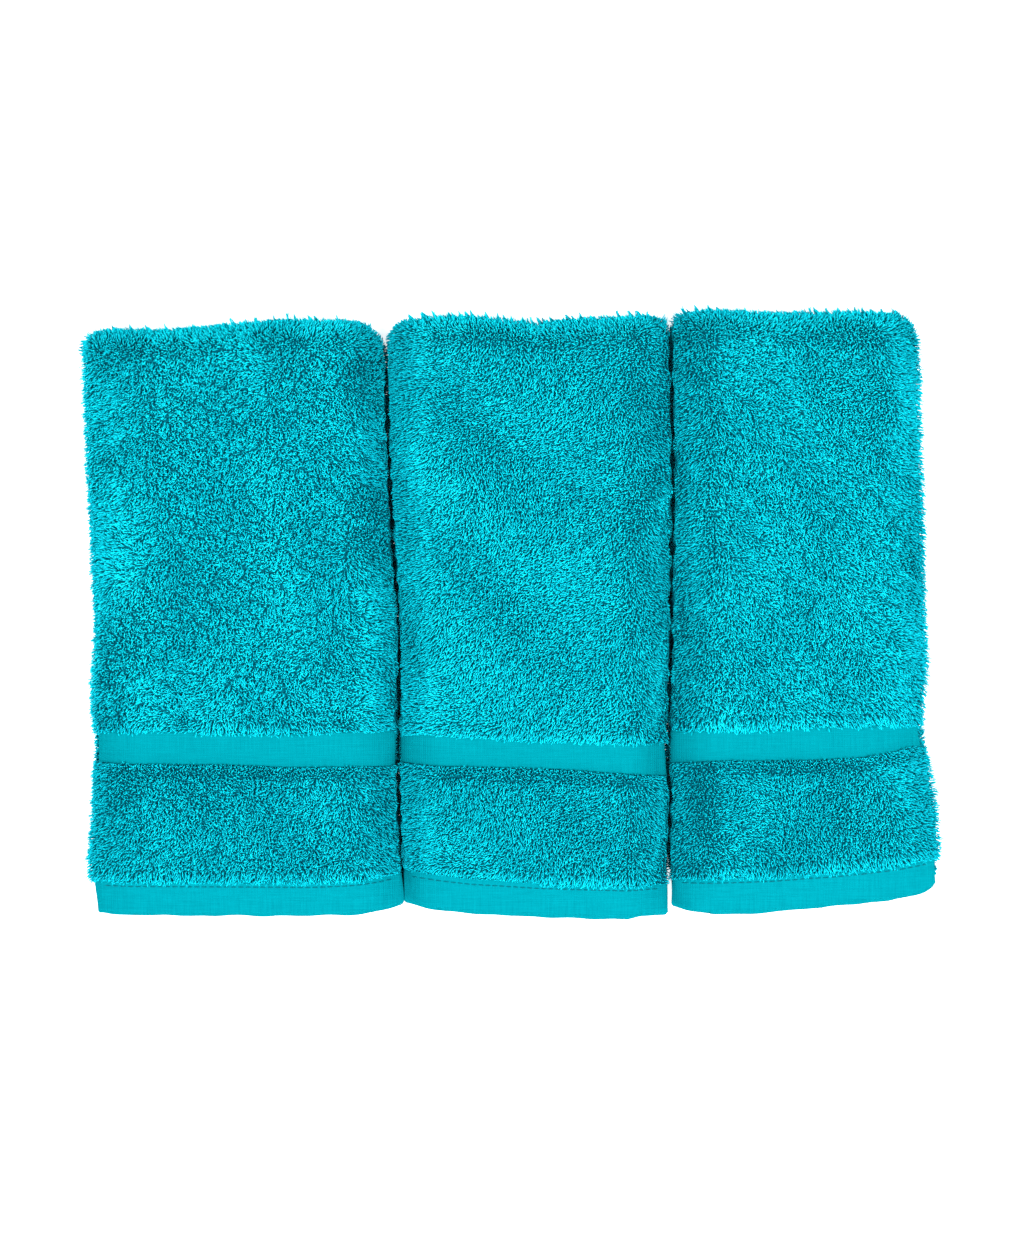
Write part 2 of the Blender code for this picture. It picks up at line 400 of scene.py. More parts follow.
class Turn:
    """A stretch of cloth that goes round a fold, between two angles in degrees."""

    def __init__(self, towel, centre, radius, start, end):
        self.towel, self.centre, self.radius = towel, centre, radius
        self.start, self.end = math.radians(start), math.radians(end)
        self.length = abs(self.end - self.start) * (radius - PITCH / 2)
        self.flat_length = abs(self.end - self.start) * (radius - PANEL / 2)

    def at(self, c, along):
        s, h = self.towel.cross.at(c)
        angle = self.start + (self.end - self.start) * along
        radius = self.radius - h
        y = self.centre[0](s / self.towel.width) + radius * np.cos(angle)
        z = self.centre[1] + radius * np.sin(angle)
        return self.towel.settle(s, y, z)


class Lower:
    """The panel that lies on the surface, with its clean face down."""

    def __init__(self, towel, near, far):
        self.towel, self.near, self.far = towel, near, far
        self.length = self.flat_length = far(0.5) - near(0.5)

    def at(self, c, along):
        s, h = self.towel.cross.at(c)
        near, far = (line(s / self.towel.width) for line in (self.near, self.far))
        return self.towel.settle(s, near + (far - near) * along, h)


class Third:
    """A zone of an end third, with its clean face up, between two lines.

    The top third runs from its fold to its hem, the inner one from its hem to its fold.
    """

    def __init__(self, towel, lines, index, ground, flap):
        self.towel, self.lines, self.ground, self.flap = towel, lines, ground, flap
        ends = lines[index], lines[index + 1]
        self.start, self.end = ends if flap else ends[::-1]
        self.length = self.flat_length = abs(self.end(0.5) - self.start(0.5))

    def height(self, y, share):
        """The panel's height, less at the border and the hem."""
        sign = 1.0 if self.flap else -1.0
        _, border_far, border_near, seam, _ = (line(share) for line in self.lines)
        in_field = smooth(sign * (y - border_far) / BARE_SLOPE + 0.15)
        from_border = smooth(sign * (border_near - y) / BARE_SLOPE + 0.15)
        from_hem = smooth(sign * (y - seam) / BARE_SLOPE + 0.15)
        terry = np.maximum(in_field, np.minimum(from_border, from_hem))
        near_hem = sign * (border_near + seam - 2 * y) > 0
        bare = np.where(near_hem, HEM_PANEL, BORDER_PANEL)
        return bare + (PANEL - bare) * terry

    def at(self, c, along):
        s, h = self.towel.cross.at(c)
        share = s / self.towel.width
        y = self.start(share) + (self.end(share) - self.start(share)) * along
        z = self.ground + self.height(y, share) * (1 - h / PANEL)
        if self.flap:
            from_hem = y - self.lines[-1](share)
            z = z - droop(from_hem)
            under = smooth((h / PANEL - 0.3) / 0.25)
            y = y - UNDER_HEM * under * smooth(1 - from_hem / (45 * MM))
            ripple = wave_noise(self.towel.x(s, y), h * 2, 22 * MM, self.towel.seed + 3)
            y = y + RIPPLE * ripple * smooth(1 - from_hem / RIPPLE_LENGTH)
        return self.towel.settle(s, y, z)


def surface(patch, c, along):
    """Points on a patch, its clean face's normals, and its two unit tangents."""
    dc, dl = 0.15 * MM, 0.15 * MM / patch.length
    across = patch.at(c + dc, along) - patch.at(c - dc, along)
    forward = patch.at(c, along + dl) - patch.at(c, along - dl)
    across /= np.linalg.norm(across, axis=-1, keepdims=True)
    normal = np.cross(forward, across)
    normal /= np.linalg.norm(normal, axis=-1, keepdims=True)
    return patch.at(c, along), normal, across, np.cross(across, normal)


# ---------- meshes


def new_piece(name, points, groups, material):
    """A smooth-shaded mesh object. Each group of faces holds faces of one size."""
    mesh = bpy.data.meshes.new(name)
    points = np.asarray(points, np.float32).reshape(-1, 3)
    sizes = np.concatenate([np.full(len(g), g.shape[1]) for g in groups])
    loops = np.concatenate([g.ravel() for g in groups]).astype(np.int32)
    starts = np.concatenate([[0], np.cumsum(sizes)[:-1]]).astype(np.int32)
    mesh.vertices.add(len(points))
    mesh.vertices.foreach_set("co", points.ravel())
    mesh.loops.add(len(loops))
    mesh.loops.foreach_set("vertex_index", loops)
    mesh.polygons.add(len(sizes))
    mesh.polygons.foreach_set("loop_start", starts)
    mesh.update(calc_edges=True)
    mesh.shade_smooth()
    mesh.materials.append(material)
    return linked(name, mesh)


def linked(name, data):
    """A new object in the scene."""
    made = bpy.data.objects.new(name, data)
    bpy.context.scene.collection.objects.link(made)
    return made


def grid_faces(rows, columns):
    """The quads of a grid whose points are stored row by row."""
    first = (np.arange(rows - 1)[:, None] * columns + np.arange(columns - 1)[None, :]).ravel()
    return np.stack([first, first + 1, first + columns + 1, first + columns], 1)


def outward(points):
    """For each point of a grid, the unit way out of the grid. Inside the rim it is zero."""
    way = np.zeros_like(points)
    way[0] += points[0] - points[1]
    way[-1] += points[-1] - points[-2]
    way[:, 0] += points[:, 0] - points[:, 1]
    way[:, -1] += points[:, -1] - points[:, -2]
    return way / np.maximum(np.linalg.norm(way, axis=-1, keepdims=True), 1e-9)


def cloth(name, patches, c_range, thickness, material, steps=COARSE):
    """A closed sheet with rounded edges, over patches that follow each other."""
    middles, normals = [], []
    for number, patch in enumerate(patches):
        c = patch.towel.cross.samples(*c_range, steps[0])
        rows = max(12 if isinstance(patch, Turn) else 4, math.ceil(patch.length / steps[1]) + 1)
        along = np.linspace(0, 1, rows)[(1 if number else 0):]
        cc, ll = np.meshgrid(c, along)
        points, normal, _, _ = surface(patch, cc, ll)
        middles.append(points)
        normals.append(normal)
    middle, normal = np.concatenate(middles), np.concatenate(normals)
    rows, columns = middle.shape[:2]
    count = rows * columns
    rim = np.concatenate([
        np.arange(columns), np.arange(1, rows) * columns + columns - 1,
        (rows - 1) * columns + np.arange(columns - 2, -1, -1),
        np.arange(rows - 2, 0, -1) * columns,
    ])
    edge = (middle + outward(middle) * thickness * 0.45).reshape(-1, 3)[rim]
    around = np.arange(len(rim)) + 2 * count
    following, around_following = np.roll(rim, -1), np.roll(around, -1)
    quads = grid_faces(rows, columns)
    faces = np.concatenate([
        quads[:, ::-1], quads + count,
        np.stack([rim, following, around_following, around], 1),
        np.stack([around, around_following, following + count, rim + count], 1),
    ])
    top = (middle + normal * thickness / 2).reshape(-1, 3)
    low = (middle - normal * thickness / 2).reshape(-1, 3)
    return new_piece(name, np.concatenate([top, low, edge]), [faces], material)


def ring_edges(rings, sides):
    """For rings of points that follow each other, the two points of each side."""
    this, first = np.arange(sides), sides * np.arange(rings)[:, None]
    return np.stack([first + this, first + (this + 1) % sides], -1)


def ring_walls(edges):
    """The quads between each ring and the next."""
    return np.concatenate([edges[:-1], edges[1:, :, ::-1]], -1).reshape(-1, 4)


def tube(path, radius, sides):
    """Points and faces of a thin tube along a path, closed at both ends."""
    tangent = np.gradient(path, axis=0)
    tangent /= np.linalg.norm(tangent, axis=1, keepdims=True)
    side = np.cross(tangent, (0.0, 0.0, 1.0))
    side /= np.linalg.norm(side, axis=1, keepdims=True)
    over = np.cross(side, tangent)
    angle = np.linspace(0, 2 * math.pi, sides, endpoint=False)[None, :, None]
    rings = path[:, None] + (side[:, None] * np.cos(angle) + over[:, None] * np.sin(angle)) * radius
    points = np.concatenate([rings.reshape(-1, 3), rings[[0, -1]].mean(1)])
    edges = ring_edges(len(path), sides)
    start, end = len(points) - 2, len(points) - 1
    fans = [np.insert(edges[0][:, ::-1], 0, start, axis=1), np.insert(edges[-1], 0, end, axis=1)]
    return points, [ring_walls(edges), np.concatenate(fans)]


def stitches(name, patch, along, material):
    """A lockstitch: the thread lies on the cloth for a stitch, then dips into it."""
    cross = patch.towel.cross
    low, high = cross.face + 2 * MM, cross.right_turn - 1 * MM
    count = int((high - low) / STITCH)
    t = np.linspace(0, count, count * 10 + 1)
    c = low + t * STITCH
    points, normal, _, _ = surface(patch, c, np.full_like(c, along))
    lowest, highest = THREAD_DIPS
    on_top = np.abs(np.sin(math.pi * t)) ** 0.8
    lift = HEM_CLOTH / 2 + THREAD_RADIUS * (lowest + (highest - lowest) * on_top)
    made_points, faces = tube(points + normal * lift[:, None], THREAD_RADIUS, 6)
    return new_piece(name, made_points, faces, material)


# ---------- pile


def tuft_mesh(name, tufts, material, press):
    """Tufts as bent, twisted, blunt-ended tubes. Each bends from its normal to its lean.

    The UV map holds a tuft's tone across and the height along it upwards.
    """
    roots, normals, leans, lengths, radii, bends, curls, tones = tufts
    count, sides = len(roots), TUFT_SIDES
    across = np.cross(normals, leans)
    angle = np.linspace(0, 2 * math.pi, sides, endpoint=False)[None, :, None] + 0.5

    def frame_at(t):
        bend = bends[:, :1] + (bends[:, 1:] - bends[:, :1]) * t
        twist = (curls * (t - 0.3))[:, None]
        out = leans * np.cos(twist) + across * np.sin(twist)
        side = across * np.cos(twist) - leans * np.sin(twist)
        forward = normals * np.cos(bend) + out * np.sin(bend)
        return forward, side, np.cross(forward, side)

    rings, centre, last = [], roots, 0.0
    for t, width in zip((*TUFT_RINGS, 1.0), (*TUFT_SHAPE, 0.0)):
        if t > last:
            forward, _, _ = frame_at((t + last) / 2)
            centre = centre + forward * (lengths * (t - last))[:, None]
            last = t
        if width:
            _, side, over = frame_at(t)
            ring = side[:, None] * np.cos(angle) + over[:, None] * np.sin(angle)
            rings.append(centre[:, None] + ring * (radii * width)[:, None, None])
        else:
            rings.append(centre[:, None])
    points = press(np.concatenate(rings, 1))
    per = points.shape[1]
    edges = ring_edges(len(TUFT_RINGS), sides)
    quads, fan = ring_walls(edges), np.insert(edges[-1], 2, per - 1, axis=1)
    offset = (np.arange(count) * per)[:, None, None]
    all_quads = (quads[None] + offset).reshape(-1, 4)
    all_fans = (fan[None] + offset).reshape(-1, 3)
    made = new_piece(name, points.reshape(-1, 3), [all_quads, all_fans], material)
    height_of = np.repeat(np.array((*TUFT_RINGS, 1.0)), [sides] * len(TUFT_RINGS) + [1])
    corner = np.concatenate([all_quads.ravel(), all_fans.ravel()])
    uv = np.stack([tones[corner // per], height_of[corner % per]], 1) * 0.96 + 0.02
    layer = made.data.uv_layers.new(name="OFBake")
    layer.uv.foreach_set("vector", uv.astype(np.float32).ravel())
    return made


@dataclass
class Pile:
    """How the tufts of one stretch stand. Bends and leans are ranges and strengths."""

    spacing: float
    length: float
    radius: float
    first_bend: tuple  # in degrees from upright, at the root
    last_bend: tuple  # and at the tip
    fringe: float = SET_BACK  # how long the tufts are around the row's two ends
    start_lean: float = 0.0  # how strongly they lean along the cloth where the stretch starts
    end_lean: float = 0.0  # and where it ends
    locks: float = 0.0  # share of the far fold's outermost line in pointed locks
    tip: float = 0.0  # how far along the cloth that line is
    combed_back: float = 0.0  # share of the width where the end is clear of pile
    # painted shade: how much darker the whole stretch's pile is painted
    shade: float = 0.0


OPEN = Pile(SPACING, TUFT_LENGTH, TUFT_RADIUS, (0, 25), (15, 74), fringe=FRINGE)
SIDE = Pile(SIDE_SPACING, 5 * MM, SIDE_TUFT_RADIUS, (0, 25), (20, 80))
LOW = replace(SIDE, spacing=1.15 * MM, length=6.2 * MM)
NEAR_TURN_SIDE = replace(SIDE, length=2.4 * MM)
PRESSED = Pile(HIDDEN_SPACING, 4.4 * MM, HIDDEN_TUFT_RADIUS, (45, 60), (80, 95))


def roots(patch, c_range, spacing, rng):
    """Places for tufts on an uneven grid, across the cloth and as a share of the patch."""
    low, high = c_range
    columns = max(2, int((high - low) / spacing))
    rows = max(2, int(patch.length / spacing))
    grid_c, grid_l = np.meshgrid(np.arange(columns) + 0.5, np.arange(rows) + 0.5)
    jitter = rng.uniform(-0.45, 0.45, (2,) + grid_c.shape)
    c = (low + (grid_c + jitter[0]) / columns * (high - low)).ravel()
    return c, ((grid_l + jitter[1]) / rows).ravel()


def brushed(patch, c, b, rng):
    """The way the pile lies at each tuft: leans across and along the cloth."""
    side, seed = patch.towel.side, patch.towel.seed
    swirl = wave_noise(c, b, 85 * MM, seed + 7) + 0.45 * wave_noise(c, b, 18 * MM, seed + 8)
    angle = math.radians(BRUSHED[side]) + WANDER[side] * swirl
    pull = clump_pull(c, b, CLUMP, seed + 11)[0] * 2 * GATHER[side]
    lean_c = SWIRL[side] * np.cos(angle) + pull[:, 0] + rng.normal(0, STRAY, c.shape)
    lean_l = SWIRL[side] * np.sin(angle) + pull[:, 1] + rng.normal(0, STRAY, c.shape)
    return lean_c, lean_l


def shades(patch, c, b, lock, style, rng):
    """Each tuft's own shade: random, patchy, and darker along the towel's sides, which is painted shade
    for the valleys between towels and the rounded shoulders.
    """
    side, cross, seed = patch.towel.side, patch.towel.cross, patch.towel.seed
    shade = 0.22 * rng.normal(size=c.shape) + 0.12 * wave_noise(c, b, 9 * MM, seed + 5)
    shade = shade + 0.12 * wave_noise(c, b, 60 * MM, seed + 6)
    # Painted shade: the pile is painted darker along each side, for the shade between towels and on the
    # shoulders.
    for end, from_side in (("left", c - cross.face), ("right", cross.right_turn - c)):
        shade = shade - PAINTED_SIDE_SHADE[side, end] * smooth(1 - from_side / PAINTED_SIDE_SHADE_WIDTH)
    # style.shade is a painted shade on a whole stretch; the band has one.
    return np.clip(0.5 + style.shade + shade - LOCK_SHADE * lock, 0, 1)


def grow(patch, c_range, style, seed):
    """Roots and shapes for the tufts of one patch."""
    rng = np.random.default_rng(seed)
    side, cross = patch.towel.side, patch.towel.cross
    c, l = roots(patch, c_range, style.spacing, rng)
    from_start, from_end = l * patch.length, (1 - l) * patch.length
    b = from_start + patch.reach
    to_tip, lot = clump_pull(c, b, LOCK, patch.towel.seed + 14)
    to_tip = to_tip - np.array((0.5, 0.0))
    near_tip = smooth(1.2 - np.abs(b - style.tip) / (6 * MM)) if style.locks else np.zeros(c.shape)
    lock = lot < style.locks * near_tip
    bare = (cross.at(c)[0] < style.combed_back * patch.towel.width) * smooth(1 - from_end / (5 * MM))
    fringe = {"left": c < cross.face, "right": c > cross.right_turn}.get(side, np.zeros(c.shape, bool))

    lean_c, lean_l = brushed(patch, c, b, rng)
    if side == "left":
        lean_c -= OUTWARD * smooth(1 - (c - cross.face) / (8 * MM))
    if side == "right":
        lean_c += OUTWARD * smooth(1 - (cross.right_turn - c) / (8 * MM))
    lean_c -= AT_TIP * near_tip
    lean_l += style.start_lean * smooth(1.2 - from_start / (8 * MM))
    lean_l += style.end_lean * smooth(1 - from_end / (5 * MM)) - 1.5 * bare
    lean_c = np.where(lock, 6 * to_tip[:, 0] + 0.5 * lean_c, lean_c)
    lean_l = np.where(lock, 6 * to_tip[:, 1] + 0.5 * lean_l, lean_l) + SLANT * fringe
    points, normal, across, forward = surface(patch, c, l)
    lean = across * lean_c[:, None] + forward * lean_l[:, None]
    strength = np.linalg.norm(lean, axis=1)
    lean /= strength[:, None]

    heavy = 0.55 + 0.45 * np.clip(strength / 1.2, 0, 1)
    bends = np.radians(np.stack([
        rng.uniform(*style.first_bend, c.shape), rng.uniform(*style.last_bend, c.shape) * heavy,
    ], 1))
    curls = rng.uniform(-CURL[side], CURL[side], c.shape) * np.where(lock, 0.15, 1.0)
    lengths = style.length * rng.uniform(0.75, 1.15, c.shape)
    lengths = lengths * (1 + 0.10 * wave_noise(c, b, 8 * MM, patch.towel.seed + 4))
    lengths = lengths * np.where(lock, LOCK_LENGTH, 1.0) * (1 - 0.5 * bare)
    lengths = lengths * np.where(fringe, style.fringe, 1.0)
    to_point = np.arctan2(np.hypot(to_tip[:, 0], to_tip[:, 1]) * LOCK, 0.8 * lengths)
    bends = np.where(lock[:, None], to_point[:, None] + np.radians([[0, 15]]), bends)
    tones = shades(patch, c, b, lock, style, rng)
    radii = np.full(c.shape, style.radius)
    return points + normal * TERRY_CLOTH * 0.3, normal, lean, lengths, radii, bends, curls, tones


def pile(name, grown, material, press):
    """Makes pieces of pile, none of them too heavy to hand over."""
    joined = [np.concatenate(parts) for parts in zip(*grown)]
    per_tuft = TUFT_SIDES * (2 * (len(TUFT_RINGS) - 1) + 1)
    count = max(1, math.ceil(len(joined[0]) * per_tuft / MOST_TRIANGLES))
    ends = np.linspace(0, len(joined[0]), count + 1).astype(int)
    made = []
    for number in range(count):
        part = slice(ends[number], ends[number + 1])
        label = name if count == 1 else f"{name}_{number + 1}"
        made.append(tuft_mesh(label, [values[part] for values in joined], material, press))
    return made


# ---------- materials


class Look:
    """A material, with a short way to add nodes. An input is a value or a socket."""

    def __init__(self, name, roughness, sheen, gloss):
        self.material = bpy.data.materials.new(name)
        self.material.use_nodes = True
        self.nodes = self.material.node_tree.nodes
        self.shader = self.nodes["Principled BSDF"]
        self.feed(self.shader, {
            "Roughness": roughness, "Sheen Weight": sheen, "Sheen Roughness": 0.5,
            "Sheen Tint": (0.01, 0.85, 0.95, 1), "Specular IOR Level": gloss,
        })

    def feed(self, node, inputs):
        for name, value in inputs.items():
            if isinstance(value, bpy.types.NodeSocket):
                self.material.node_tree.links.new(value, node.inputs[name])
            else:
                node.inputs[name].default_value = value

    def add(self, kind, inputs, **settings):
        node = self.nodes.new(f"ShaderNode{kind}")
        for name, value in settings.items():
            setattr(node, name, value)
        self.feed(node, inputs)
        return node.outputs

    def ramp(self, value, stops):
        node = self.nodes.new("ShaderNodeValToRGB")
        elements = node.color_ramp.elements
        while len(elements) < len(stops):
            elements.new(0.5)
        for element, (position, colour) in zip(elements, stops):
            element.position = position
            element.color = (*colour, 1.0)
        self.feed(node, {"Fac": value})
        return node.outputs["Color"]

    def finished(self, **inputs):
        self.feed(self.shader, {name.replace("_", " "): value for name, value in inputs.items()})
        return self.material


def pile_material():
    """Cotton yarn, each tuft a shade of its own: dark at the root as painted shade deep in the pile,
    bright at the tip as painted light for light shining through the fibres.
    """
    look = Look("terry_pile", 0.85, 0.10, 0.03)
    uv = look.add("UVMap", {}, uv_map="OFBake")["UV"]
    place = look.add("SeparateXYZ", {"Vector": uv})
    # Painted shade and light along each tuft: dark at the root for the shade deep in the pile, bright
    # at the tip for light shining through the fibres.
    height = look.ramp(place["Y"], [
        (0.0, (0.0005, 0.11, 0.145)), (0.45, (0.0008, 0.42, 0.515)), (1.0, (0.002, 0.74, 0.86)),
    ])
    tone = look.ramp(place["X"], [
        (0.0, (0.5, 0.66, 0.70)), (0.5, (1.0, 0.96, 0.97)), (1.0, (3.0, 1.22, 1.18)),
    ])
    mixed = look.add(
        "Mix", {"Factor": 1.0, "A": height, "B": tone}, data_type="RGBA", blend_type="MULTIPLY",
    )
    return look.finished(Base_Color=mixed["Result"])


def speckled_material(name, shine, scale, dark, light):
    """A dull colour that varies finely between two shades."""
    look = Look(name, *shine)
    noise = look.add("TexNoise", {"Scale": scale})["Fac"]
    return look.finished(Base_Color=look.ramp(noise, [(0.3, dark), (0.7, light)]))


def woven_material(name, base, bright, rib):
    """Smooth plain weave: warp and weft ribs, streaks along both, a satin sheen."""
    look = Look(name, 0.6, 0.08, 0.0)
    place = look.add("TexCoord", {})["Object"]
    streaks, waves = [], []
    for stretch in ((60.0, 1500.0, 60.0), (1500.0, 60.0, 60.0)):
        drawn_out = look.add("Mapping", {"Vector": place, "Scale": stretch})["Vector"]
        streaks.append(look.add("TexNoise", {"Vector": drawn_out, "Scale": 1.0, "Detail": 3.0})["Fac"])
    for direction in ("X", "Y"):
        inputs = {"Vector": place, "Scale": rib, "Distortion": 0.6}
        waves.append(look.add("TexWave", inputs, bands_direction=direction)["Fac"])
    both = look.add("Math", dict(enumerate(streaks)), operation="ADD")[0]
    half = look.add("Math", {0: both, 1: 0.5}, operation="MULTIPLY")[0]
    weave = look.add("Math", dict(enumerate(waves)), operation="MULTIPLY")[0]
    bump = look.add("Bump", {"Height": weave, "Strength": 0.5, "Distance": 0.0003})
    colour = look.ramp(half, [(0.36, base), (0.62, bright)])
    return look.finished(Base_Color=colour, Normal=bump["Normal"])


MATERIALS = {
    "pile": pile_material(),
    "ground": speckled_material(  # the cloth that the pile grows from, seen only between tufts, painted darker than the border as painted shade deep under the pile
        "terry_ground", (0.95, 0.0, 0.02), 700, (0.0002, 0.07, 0.10), (0.0004, 0.13, 0.18),
    ),
    "border": woven_material("border_weave", (0.0001, 0.180, 0.223), (0.0003, 0.222, 0.268), 240.0),
    "hem": woven_material("hem_weave", (0.0001, 0.178, 0.224), (0.0003, 0.226, 0.277), 240.0),
    # the thread is painted darker than the hem, as painted shade in its needle holes
    "thread": speckled_material(
        "thread", (0.5, 0.1, 0.03), 900, (0.0002, 0.08, 0.11), (0.0004, 0.16, 0.20),
    ),
}
LOOKS = {  # of each zone: thickness, material, slot
    "field": (TERRY_CLOTH, "ground", "terry"), "border": (BORDER_CLOTH, "border", "flat_weave"),
    "band": (TERRY_CLOTH, "ground", "terry"), "hem": (HEM_CLOTH, "hem", "flat_weave"),
}


# ---------- building a towel


class Layout:
    """A towel's cloth as patches that follow each other, from the inner hem to the top one.

    Each patch gets its reach: how far along the cloth it starts. The places are the towel's base, its
    flap, and the two creases of the far fold between them; pieces on the base or the flap are attached
    to that body.
    """

    def __init__(self, towel):
        self.towel, self.reach = towel, 0.0
        self.inner = {
            ZONES[index]: self.add(Third(towel, towel.inner_lines, index, PANEL, False))
            for index in (3, 2, 1, 0)
        }
        self.near_turn = self.add(Turn(towel, (towel.near_centre, PANEL), PANEL, 90, 270))
        self.lower = self.add(Lower(towel, towel.near_centre, towel.far_centre))
        centre = (towel.far_centre, STACK / 2)
        self.turn_up = self.add(Turn(towel, centre, STACK / 2, -90, 0))
        self.turn_over = self.add(Turn(towel, centre, STACK / 2, 0, 90))
        self.flap = {
            ZONES[index]: self.add(Third(towel, towel.flap_lines, index, 2 * PANEL, True))
            for index in (0, 1, 2, 3)
        }
        base, fold, flap = (f"{towel.side}_{body}" for body in ("towel", "fold", "flap"))
        half = HALF_BEND / math.sqrt(2)
        lower_crease = np.array([0.0, towel.fold_y - CREASE, CREASE])
        upper_crease = np.array([0.0, towel.fold_y - CREASE, STACK - CREASE])
        up, over = np.array([0, half, half]), np.array([0, -half, half])
        self.places = {
            "base": base, "flap": flap,
            "lower_crease": (base, fold, tuple(lower_crease - up), tuple(lower_crease + up)),
            "upper_crease": (fold, flap, tuple(upper_crease - over), tuple(upper_crease + over)),
        }

    def add(self, patch):
        patch.reach = self.reach
        self.reach += patch.length
        return patch

    def finish(self, made, slot, place, replaced):
        """Attaches a piece to the body it follows, or calls bend() for a crease, and hides the CAD
        parts it stands for. The slot is not used.
        """
        if place in ("base", "flap"):
            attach(made, self.places[place])
        else:
            self.bend(made, *self.places[place])
        if replaced:
            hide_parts(*replaced)
        return made

    def bend(self, made, a, b, start, end):
        """Sets a piece's points to the heights they had before the shoulders sank, bakes its transform,
        then puts the points back.
        """
        points = np.empty(3 * len(made.data.vertices), np.float32)
        made.data.vertices.foreach_get("co", points)
        level = points.reshape(-1, 3).copy()
        level[:, 2] /= self.towel.kept_at(level[:, 0], level[:, 1])
        made.data.vertices.foreach_set("co", level.ravel())
        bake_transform(made)
        made.data.vertices.foreach_set("co", points)
        made.data.update()


def add_sheets(layout):
    """The woven cloth. Gives the sheet on each patch."""
    side, everything = layout.towel.side, (0.0, layout.towel.cross.end)
    sheets = {}
    for name, patch, place, replaced in (
        ("base", layout.lower, "base", ["base_panel"]),
        ("near_fold", layout.near_turn, "base", ["near_fold"]),
        ("far_fold_lower", layout.turn_up, "lower_crease", ["far_fold"]),
        ("far_fold_upper", layout.turn_over, "upper_crease", []),
    ):
        made = cloth(f"{side}_{name}_cloth", [patch], everything, TERRY_CLOTH, MATERIALS["ground"])
        sheets[patch] = layout.finish(made, "terry", place, [f"{side}_{node}" for node in replaced])
    for third, patches, place in (("inner", layout.inner, "base"), ("flap", layout.flap, "flap")):
        for zone in ZONES:
            patch, name = patches[zone], f"{side}_{third}_{zone}"
            thickness, look, slot = LOOKS[zone]
            steps = FINE if third == "flap" and slot == "flat_weave" else COARSE
            made = cloth(f"{name}_cloth", [patch], everything, thickness, MATERIALS[look], steps)
            sheets[patch] = layout.finish(made, slot, place, [name])
    return sheets


def add_stitches(layout):
    """The thread in both end hems. Gives the pieces on each patch."""
    threads = {}
    for third, patch, place in (
        ("flap", layout.flap["hem"], "flap"), ("inner", layout.inner["hem"], "base"),
    ):
        share = STITCH_SETBACK / patch.length
        along = share if third == "flap" else 1 - share
        name = f"{layout.towel.side}_{third}"
        made = stitches(f"{name}_stitches", patch, along, MATERIALS["thread"])
        threads[patch] = [layout.finish(made, "thread", place, [f"{name}_hem_stitching"])]
    return threads


def add_side_edges(layout):
    """The turned edges along the cloth's two sides."""
    for third, patches, place in (
        ("base", [layout.lower], "base"), ("inner", list(layout.inner.values()), "base"),
        ("flap", list(layout.flap.values()), "flap"),
    ):
        name, width = f"{layout.towel.side}_{third}_side", (-0.4 * MM, SIDE_HEM)
        made = cloth(f"{name}_edge", patches, width, SIDE_HEM_CLOTH, MATERIALS["hem"])
        layout.finish(made, "flat_weave", place, [f"{name}_hem"])


def add_pile(layout, press, press_below):
    """The clean face's pile, its two turned sides', and what shows of the wrong side's."""
    side, cross = layout.towel.side, layout.towel.cross
    face = ((cross.face, cross.right_turn),)
    clean = ((cross.left_turn, cross.back),)
    turns = ((cross.left_turn, cross.face), (cross.right_turn, cross.back))
    wrong = ((SIDE_HEM, cross.left_turn), (cross.back, cross.back + FREE_EDGE))
    shaggy = replace(OPEN, locks=LOCKS[side], tip=layout.turn_over.reach)
    # The band's pile is painted darker (shade=-0.14), as painted shade where the band slopes down
    # towards the hem, away from the light.
    band = replace(
        OPEN, first_bend=(0, 15), last_bend=(10, 70), shade=-0.14,
        start_lean=1.3, end_lean=-0.9, combed_back=COMBED_BACK[side],
    )
    near_turn, field, outer_band = layout.near_turn, layout.flap["field"], layout.flap["band"]
    below = (
        ("base", layout.lower, "base", LOW), ("inner_field", layout.inner["field"], "base", SIDE),
        ("inner_band", layout.inner["band"], "base", SIDE),
    )
    jobs = [
        ("near_fold_pile", near_turn, face, LOW, "base"),
        ("near_fold_side_pile", near_turn, turns, NEAR_TURN_SIDE, "base"),
        ("far_fold_lower_pile", layout.turn_up, clean, shaggy, "lower_crease"),
        ("far_fold_upper_pile", layout.turn_over, clean, shaggy, "upper_crease"),
        ("flap_field_pile", field, clean, replace(OPEN, end_lean=-0.5), "flap"),
        ("flap_band_pile", outer_band, clean, band, "flap"),
    ]
    for name, patch, place, sides in below:
        jobs.append((f"{name}_face_pile", patch, face, PRESSED, place))
        jobs.append((f"{name}_side_pile", patch, turns, sides, place))
    for name, patch, place, *_ in below + (
        ("far_fold_lower", layout.turn_up, "lower_crease"),
        ("far_fold_upper", layout.turn_over, "upper_crease"),
        ("flap_field", field, "flap"), ("flap_band", outer_band, "flap"),
    ):
        jobs.append((f"{name}_wrong_side_pile", patch, wrong, PRESSED, place))

    on_patches = {}
    for number, (name, patch, ranges, style, place) in enumerate(jobs):
        seed = layout.towel.seed + 20 * number
        grown = [grow(patch, c_range, style, seed + part) for part, c_range in enumerate(ranges)]
        pressed = press_below if patch is near_turn or ranges is turns else press
        for made in pile(f"{side}_{name}", grown, MATERIALS["pile"], pressed):
            on_patches.setdefault(patch, []).append(layout.finish(made, "terry", place, []))
    return on_patches


def build_towel(towel, press, press_below):
    layout = Layout(towel)
    sheets = add_sheets(layout)
    threads = add_stitches(layout)
    add_side_edges(layout)
    piles = add_pile(layout, press, press_below)


